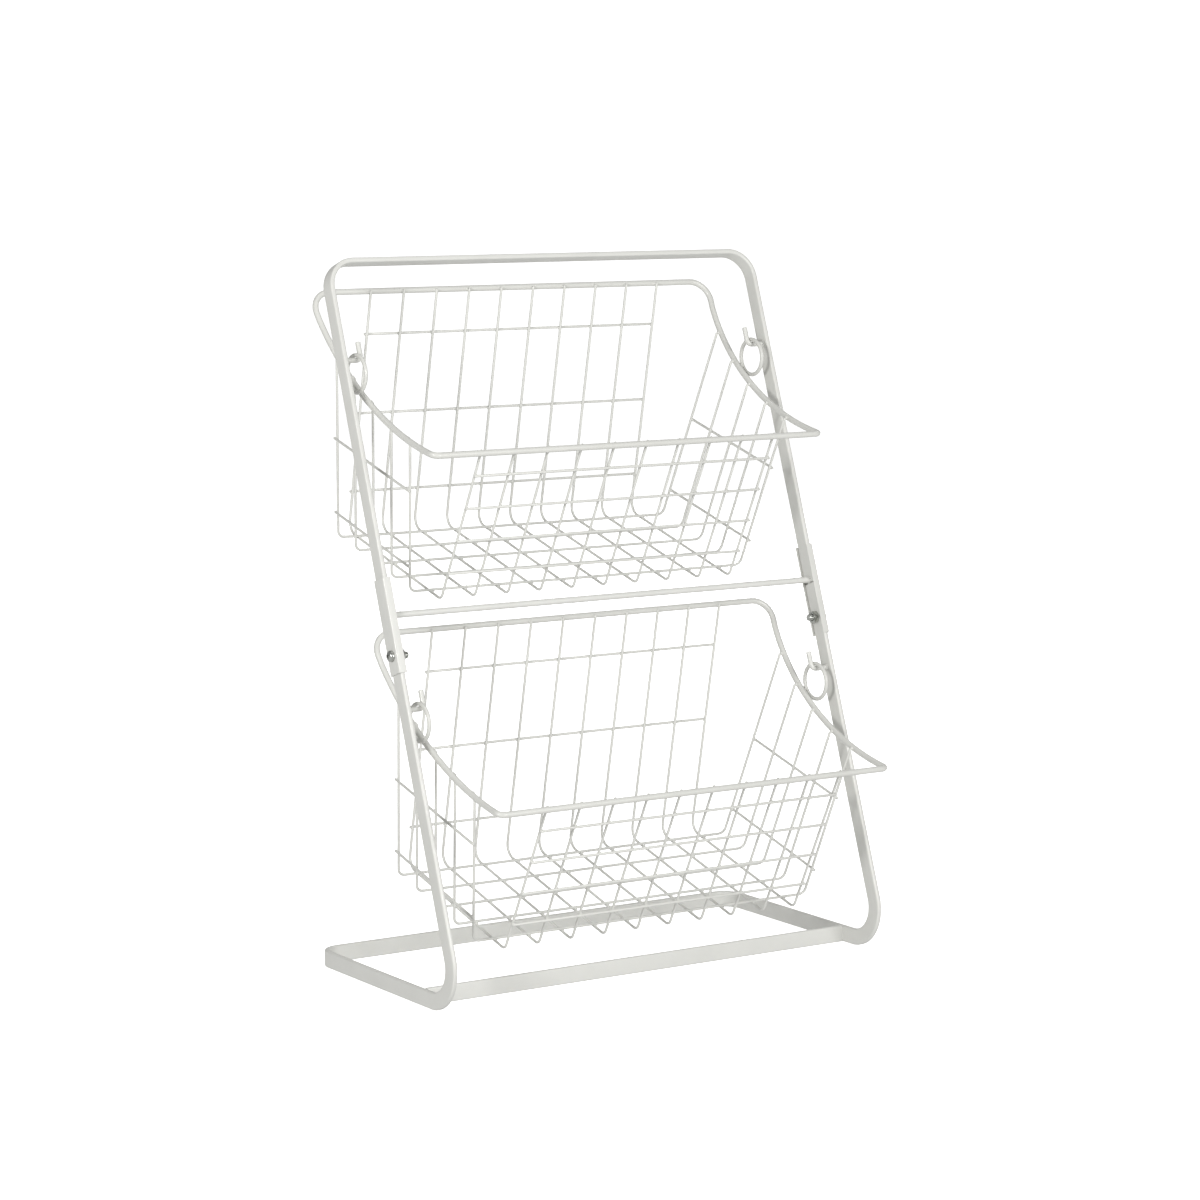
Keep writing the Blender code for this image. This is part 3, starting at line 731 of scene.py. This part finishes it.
def make_front_bar():
    end = BAR_INNER_X - SEAT_GAP
    y = FRONT_BAR_SETBACK + BAR_THICKNESS / 2
    z = BAR_DEPTH / 2
    low, high = BAR_EDGE_RADIUS, BAR_DEPTH - BAR_EDGE_RADIUS
    work = bmesh.new()
    add_bar(work, [Vector((-end, y, z)), Vector((end, y, z))], REARWARD)
    for _, side in SIDES:
        x = side * (end + SEAT_GAP / 2)
        for edge in (y - BAR_THICKNESS / 2, y + BAR_THICKNESS / 2):
            add_wire(work, [Vector((x, edge, low)), Vector((x, edge, high))],
                     FRONT_BAR_BEAD_SHARE * BEAD_RADIUS, BEAD_SIDES)
    finish_coated(work, "front_bar", STAND_PLACE)


def make_channel(name, side):
    """Folded sheet that wraps a leg from outside. The screw's head hides its hole."""
    inner_x = BAR_INNER_X - CHANNEL_OVERRUN
    half_depth = BAR_DEPTH / 2 + SEAT_GAP
    centre_u = FRAME_WIDTH / 2 + SEAT_GAP - inner_x - CHANNEL_BEND_RADIUS
    half_v = half_depth - CHANNEL_BEND_RADIUS
    outlines = []
    for wall in (0.0, CHANNEL_WALL):
        radius = CHANNEL_BEND_RADIUS + wall
        outline = [(0.0, -half_depth - wall)]
        for centre_v, start in ((-half_v, -0.5), (half_v, 0.0)):
            for step in range(EDGE_STEPS + 1):
                angle = math.pi * (start + 0.5 * step / EDGE_STEPS)
                outline.append((centre_u + radius * math.cos(angle),
                                centre_v + radius * math.sin(angle)))
        outline.append((0.0, half_depth + wall))
        outlines.append(outline)
    work = bmesh.new()
    (low_in, low_out), (high_in, high_out) = [
        [[work.verts.new((side * (inner_x + u), v, z)) for u, v in outline] for outline in outlines]
        for z in (0.0, CHANNEL_LENGTH)]
    for index in range(len(low_in) - 1):
        for here, there in ((low_in, high_in), (low_out, high_out),
                            (low_in, low_out), (high_in, high_out)):
            work.faces.new((here[index], here[index + 1], there[index + 1], there[index]))
    for index in (0, -1):
        work.faces.new((low_in[index], low_out[index], high_out[index], high_in[index]))
    foot = Matrix.Translation((0.0, LEG_MIDDLE, CHANNEL_FOOT_HEIGHT))
    piece = finish_coated(work, name, LEANING_PLACE @ foot)
    soften = piece.modifiers.new("rolled edges", "BEVEL")
    soften.width = CHANNEL_EDGE_ROUND
    soften.segments = CHANNEL_EDGE_SEGMENTS
    soften.limit_method = "ANGLE"
    soften.angle_limit = CHANNEL_EDGE_ANGLE


def nut_outline(angle):
    """Distance from the axis to the hexagon's side at an angle."""
    sixth = math.pi / 3
    within = (angle % sixth) - sixth / 2
    return NUT_ACROSS_FLATS / 2 / math.cos(within)


def make_nut(name, side):
    """Hexagon nut with chamfered corners and a bore, its axis along X."""
    bore = SCREW_SHANK_DIAMETER / 2 + HOLE_CLEARANCE
    crown = NUT_ACROSS_FLATS / 2 * NUT_CROWN_SHARE
    half = NUT_THICKNESS / 2
    work = bmesh.new()
    columns = []
    for step in range(NUT_STEPS):
        angle = 2 * math.pi * step / NUT_STEPS
        outer = nut_outline(angle)
        drop = max(0.0, outer - crown) * math.tan(NUT_CHAMFER_ANGLE)
        outer_half = [(outer, half - drop), (crown, half), (bore + NUT_BORE_CHAMFER, half),
                      (bore, half - NUT_BORE_CHAMFER)]
        inner_half = [(radius, -x) for radius, x in reversed(outer_half)]
        columns.append([work.verts.new((x, radius * math.cos(angle), radius * math.sin(angle)))
                        for radius, x in inner_half + outer_half])
    rings = list(zip(*columns))
    for here, there in zip(rings, rings[1:] + rings[:1]):
        bridge(work, here, there)
    middle_x = side * (BAR_INNER_X - SEAT_GAP - NUT_THICKNESS / 2)
    middle = Matrix.Translation((middle_x, LEG_MIDDLE, SCREW_HEIGHT))
    finish_plated(work, name, LEANING_PLACE @ middle, NUT_SMOOTH_ANGLE)


def cross_recess(name):
    """Tapered cross that is cut into a screw's head, about Z with its floor at the origin."""
    cutter = bmesh.new()
    for turn in (0.0, math.pi / 2):
        turned = Matrix.Rotation(turn, 4, "Z")
        low, high = [
            [cutter.verts.new(turned @ Vector((u * half_reach, v * half_width, z)))
             for u, v in ((-1, -1), (1, -1), (1, 1), (-1, 1))]
            for z, half_reach, half_width in RECESS_LEVELS]
        cutter.faces.new(list(reversed(low)))
        cutter.faces.new(high)
        bridge(cutter, low, high)
    bmesh.ops.recalc_face_normals(cutter, faces=cutter.faces)
    mesh = bpy.data.meshes.new(name)
    cutter.to_mesh(mesh)
    cutter.free()
    return mesh


def add_screw_rings(work, seat, thread_top, tip):
    """Rings of points from the head's dome down to the threaded tip."""
    head_radius = SCREW_HEAD_DIAMETER / 2
    shank_radius = SCREW_SHANK_DIAMETER / 2
    profile = []
    for step in range(1, HEAD_DOME_STEPS):
        angle = math.pi / 2 * step / HEAD_DOME_STEPS
        profile.append((head_radius * math.sin(angle) ** HEAD_DOME_RADIUS_POWER,
                        seat + SCREW_HEAD_HEIGHT * math.cos(angle) ** HEAD_DOME_HEIGHT_POWER))
    profile += [(head_radius, seat + HEAD_EDGE_HEIGHT), (head_radius - HEAD_EDGE_CHAMFER, seat),
                (shank_radius, seat)]
    rings = [[work.verts.new(round_point(radius, 2 * math.pi * step / SCREW_STEPS, z))
              for step in range(SCREW_STEPS)] for radius, z in profile]
    for row in range(THREAD_ROWS + 1):
        z = thread_top + (tip - thread_top) * row / THREAD_ROWS
        fade = min(1.0, (THREAD_ROWS - row) / THREAD_FADE_ROWS)
        ring = []
        for step in range(SCREW_STEPS):
            turn = step / SCREW_STEPS
            wave = abs(((z / THREAD_PITCH + turn) % 1.0) - 0.5) * 2
            radius = shank_radius - THREAD_DEPTH * wave * fade - THREAD_TIP_TAPER * (1 - fade)
            ring.append(work.verts.new(round_point(radius, 2 * math.pi * turn, z)))
        rings.append(ring)
    return rings


def make_screw(name, side):
    """Pan-head screw: domed head with a cross recess, and a threaded end past the nut."""
    seat = FRAME_WIDTH / 2 + SEAT_GAP + CHANNEL_WALL + SEAT_GAP
    nut_end = BAR_INNER_X - SEAT_GAP - NUT_THICKNESS
    tip = nut_end - SCREW_END_LENGTH
    work = bmesh.new()
    rings = add_screw_rings(work, seat, nut_end + THREAD_PITCH, tip)
    top = work.verts.new((0.0, 0.0, seat + SCREW_HEAD_HEIGHT))
    bottom = work.verts.new((0.0, 0.0, tip))
    for step in range(SCREW_STEPS):
        after = (step + 1) % SCREW_STEPS
        work.faces.new((top, rings[0][step], rings[0][after]))
        work.faces.new((bottom, rings[-1][after], rings[-1][step]))
    for here, there in zip(rings, rings[1:]):
        for step in range(SCREW_STEPS):
            after = (step + 1) % SCREW_STEPS
            work.faces.new((here[step], there[step], there[after], here[after]))
    place = (LEANING_PLACE @ Matrix.Translation((0.0, LEG_MIDDLE, SCREW_HEIGHT))
             @ Matrix.Rotation(side * math.pi / 2, 4, "Y"))
    piece = finish_plated(work, name, place, SCREW_SMOOTH_ANGLE)
    cutter = add_object(name + "_recess", cross_recess(name + "_recess"))
    recess_floor = Matrix.Translation((0.0, 0.0, seat + SCREW_HEAD_HEIGHT - RECESS_DEPTH))
    cutter.matrix_world = place @ recess_floor @ Matrix.Rotation(RECESS_TURN, 4, "Z")
    cut = piece.modifiers.new("recess", "BOOLEAN")
    cut.operation = "DIFFERENCE"
    cut.solver = "EXACT"
    cut.use_self = True
    cut.object = cutter
    bpy.context.view_layer.update()
    graph = bpy.context.evaluated_depsgraph_get()
    shape = bpy.data.meshes.new_from_object(piece.evaluated_get(graph))
    piece.modifiers.clear()
    piece.data = shape
    bpy.data.objects.remove(cutter, do_unlink=True)


def make_crossbar():
    end = BAR_INNER_X - SEAT_GAP
    along = LEG_JOINT_HEIGHT + CROSSBAR_RISE
    work = bmesh.new()
    add_rod(work, [Vector((-end, LEG_MIDDLE, along)), Vector((end, LEG_MIDDLE, along))],
            CROSSBAR_DIAMETER)
    for _, side in SIDES:
        centre = Vector((side * (BAR_INNER_X - SEAT_GAP / 2), LEG_MIDDLE, along))
        add_bead(work, centre, CROSSBAR_DIAMETER, CROSSBAR_BEAD_SHARE)
    finish_coated(work, "crossbar")


def make_hook(name, side, along):
    start = side * (BAR_INNER_X - SEAT_GAP)
    elbow = side * (RING_REACH - HOOK_TO_RING)
    corners = [
        (Vector((start, LEG_MIDDLE, along)), 0.0),
        (Vector((elbow, LEG_MIDDLE, along)), HOOK_TO_RING),
        (Vector((elbow, LEG_MIDDLE, along + HOOK_RISE)), 0.0)]
    work = bmesh.new()
    add_rod(work, bent_path(corners, BEND_STEPS), HOOK_DIAMETER, end_shares=CUT_END_SHARES)
    centre = Vector((side * (BAR_INNER_X - SEAT_GAP / 2), LEG_MIDDLE, along))
    add_bead(work, centre, HOOK_DIAMETER, HOOK_BEAD_SHARE)
    finish_coated(work, name)


def make_stand():
    make_upper_frame()
    make_lower_frame()
    make_front_bar()
    make_crossbar()
    for label, side in SIDES:
        make_channel(label + "_channel", side)
        make_nut(label + "_nut", side)
        make_screw(label + "_screw", side)
        make_hook(f"upper_{label}_hook", side, UPPER_HOOK_HEIGHT)
        make_hook(f"lower_{label}_hook", side, LOWER_HOOK_HEIGHT)


# The baskets

def basket_weld_places():
    """Place and two directions of every weld between the wires of a basket."""
    back_up = Vector((0.0, math.sin(BACK_FLARE), math.cos(BACK_FLARE)))
    front_up = Vector((0.0, -math.sin(FRONT_FLARE), math.cos(FRONT_FLARE)))
    back_heights = evenly(BACK_RAIL_COUNT, BACK_RAIL_HEIGHT, BACK_RAIL_PITCH)
    front_heights = evenly(FRONT_RAIL_COUNT, FRONT_RAIL_HEIGHT, FRONT_RAIL_PITCH)
    side_heights = evenly(SIDE_RAIL_COUNT, SIDE_RAIL_HEIGHT, SIDE_RAIL_PITCH)
    half = WIRE_OFFSET / 2
    welds = []
    for x in long_wire_places():
        for depth in cross_wire_depths():
            welds.append((Vector((x, depth, half)), ACROSS, REARWARD))
        for height in back_heights + [BACK_HEIGHT]:
            welds.append((Vector((x, back_depth(height, half), height)), ACROSS, back_up))
        for height in front_heights + [FRONT_HEIGHT]:
            welds.append((Vector((x, front_depth(height, half), height)), ACROSS, front_up))
    for _, side in SIDES:
        side_up = Vector((side * math.sin(SIDE_FLARE), 0.0, math.cos(SIDE_FLARE)))
        for depth in cross_wire_depths():
            for height in side_heights + [rim_height(depth)]:
                place = Vector((side * side_reach(height, half), depth, height))
                welds.append((place, REARWARD, side_up))
    return welds


def make_basket(level, hook_height):
    body = level + "_basket"
    place = basket_place(hook_height)

    def finish(work, kind, replaced=True):
        node = f"{level}_{kind}"
        finish_piece(work, node + "_coated", place, BASKET_COAT, body,
                     [node] if replaced else [])

    work = bmesh.new()
    add_rod(work, rim_path(), RIM_DIAMETER, closed=True)
    finish(work, "rim")
    work = bmesh.new()
    for path in [cross_wire_path(depth) for depth in cross_wire_depths()] + side_rail_paths():
        add_wire(work, path, WIRE_DIAMETER)
    finish(work, "cross_wires")
    for number, x in enumerate(long_wire_places(), 1):
        work = bmesh.new()
        add_wire(work, [point + x * ACROSS for point in long_wire_path()], WIRE_DIAMETER)
        finish(work, f"long_wire_{number}")
    reach = long_wire_places()[-1] + LONG_RAIL_OVERHANG
    for kind, count, first, pitch, depth_at in (
            ("back_rail", BACK_RAIL_COUNT, BACK_RAIL_HEIGHT, BACK_RAIL_PITCH, back_depth),
            ("front_rail", FRONT_RAIL_COUNT, FRONT_RAIL_HEIGHT, FRONT_RAIL_PITCH, front_depth)):
        for number, height in enumerate(evenly(count, first, pitch), 1):
            y = depth_at(height, WIRE_OFFSET)
            work = bmesh.new()
            add_wire(work, [Vector((-reach, y, height)), Vector((reach, y, height))], WIRE_DIAMETER)
            finish(work, f"{kind}_{number}")
    for label, side in SIDES:
        work = bmesh.new()
        add_rod(work, ring_path(side), RING_WIRE_DIAMETER, closed=True)
        finish(work, label + "_ring")
    work = bmesh.new()
    for weld_place, along, across in basket_weld_places():
        add_nugget(work, weld_place, along, across)
    for _, side in SIDES:
        add_nugget(work, ring_weld_place(side), RING_NUGGET_ALONG, RING_NUGGET_ACROSS)
    finish(work, "welds", replaced=False)


# Floor, light and camera

def make_floor():
    """Pale floor that curves up into a backdrop far away, the same all round the stand."""
    profile = [(FLOOR_REACH, 0.0)]
    for step in range(1, FLOOR_CURVE_STEPS + 1):
        angle = math.pi / 2 * step / FLOOR_CURVE_STEPS
        profile.append((FLOOR_REACH + FLOOR_CURVE_RADIUS * math.sin(angle),
                        FLOOR_CURVE_RADIUS * (1 - math.cos(angle))))
    profile.append((FLOOR_REACH + FLOOR_CURVE_RADIUS, FLOOR_WALL_HEIGHT))
    verts = [round_point(reach, 2 * math.pi * step / FLOOR_STEPS, z)
             for reach, z in profile for step in range(FLOOR_STEPS)]
    faces = [tuple(range(FLOOR_STEPS))]
    for row in range(1, len(profile)):
        here, before = row * FLOOR_STEPS, (row - 1) * FLOOR_STEPS
        for step in range(FLOOR_STEPS):
            after = (step + 1) % FLOOR_STEPS
            faces.append((here + step, here + after, before + after, before + step))
    mesh = bpy.data.meshes.new("floor")
    mesh.from_pydata(verts, [], faces)
    mesh.materials.append(floor_paper("floor_paper"))
    smooth_faces(mesh)
    floor = add_object("floor", mesh)
    floor.visible_diffuse = False
    floor.visible_glossy = False
    floor.visible_shadow = False


def add_area_light(name, place, size, power, in_reflections):
    data = bpy.data.lights.new(name, "AREA")
    data.shape = "RECTANGLE"
    data.size, data.size_y = size
    data.energy = power
    light = add_object(name, data)
    light.location = place
    light.rotation_euler = (LIGHT_TARGET - Vector(place)).to_track_quat("-Z", "Y").to_euler()
    light.visible_glossy = in_reflections


def make_light():
    world = bpy.data.worlds.new("studio")
    bpy.context.scene.world = world
    world.use_nodes = True
    tree = world.node_tree
    background = tree.nodes["Background"]
    set_inputs(background, {"Color": WHITE})
    direction = add_node(tree, "ShaderNodeSeparateXYZ")
    tree.links.new(add_node(tree, "ShaderNodeTexCoord").outputs["Generated"], direction.inputs[0])
    strength = remap(tree, direction.outputs["Z"], WORLD_STRENGTH_BELOW, WORLD_STRENGTH_ABOVE,
                     WORLD_HORIZON_BAND)
    tree.links.new(strength, background.inputs["Strength"])
    for name, settings in LIGHTS.items():
        add_area_light(name, *settings)
    bpy.context.scene.view_settings.view_transform = "Standard"


def make_camera():
    data = bpy.data.cameras.new("camera")
    data.sensor_width = SENSOR_WIDTH
    data.lens = SENSOR_WIDTH * FOCAL_PIXELS / IMAGE_SIZE
    data.shift_x = (IMAGE_SIZE / 2 - IMAGE_CENTRE[0]) / IMAGE_SIZE
    data.shift_y = (IMAGE_CENTRE[1] - IMAGE_SIZE / 2) / IMAGE_SIZE
    data.clip_end = CAMERA_FAR_END
    camera = add_object("camera", data)
    turn = (Matrix.Rotation(CAMERA_HEADING, 4, "Z") @ Matrix.Rotation(CAMERA_TILT, 4, "X")
            @ Matrix.Rotation(CAMERA_ROLL, 4, "Z"))
    camera.matrix_world = Matrix.Translation(CAMERA_PLACE) @ turn
    bpy.context.scene.camera = camera


make_stand()
make_basket("upper", UPPER_HOOK_HEIGHT)
make_basket("lower", LOWER_HOOK_HEIGHT)
make_floor()
make_light()
make_camera()

bpy.context.view_layer.update()
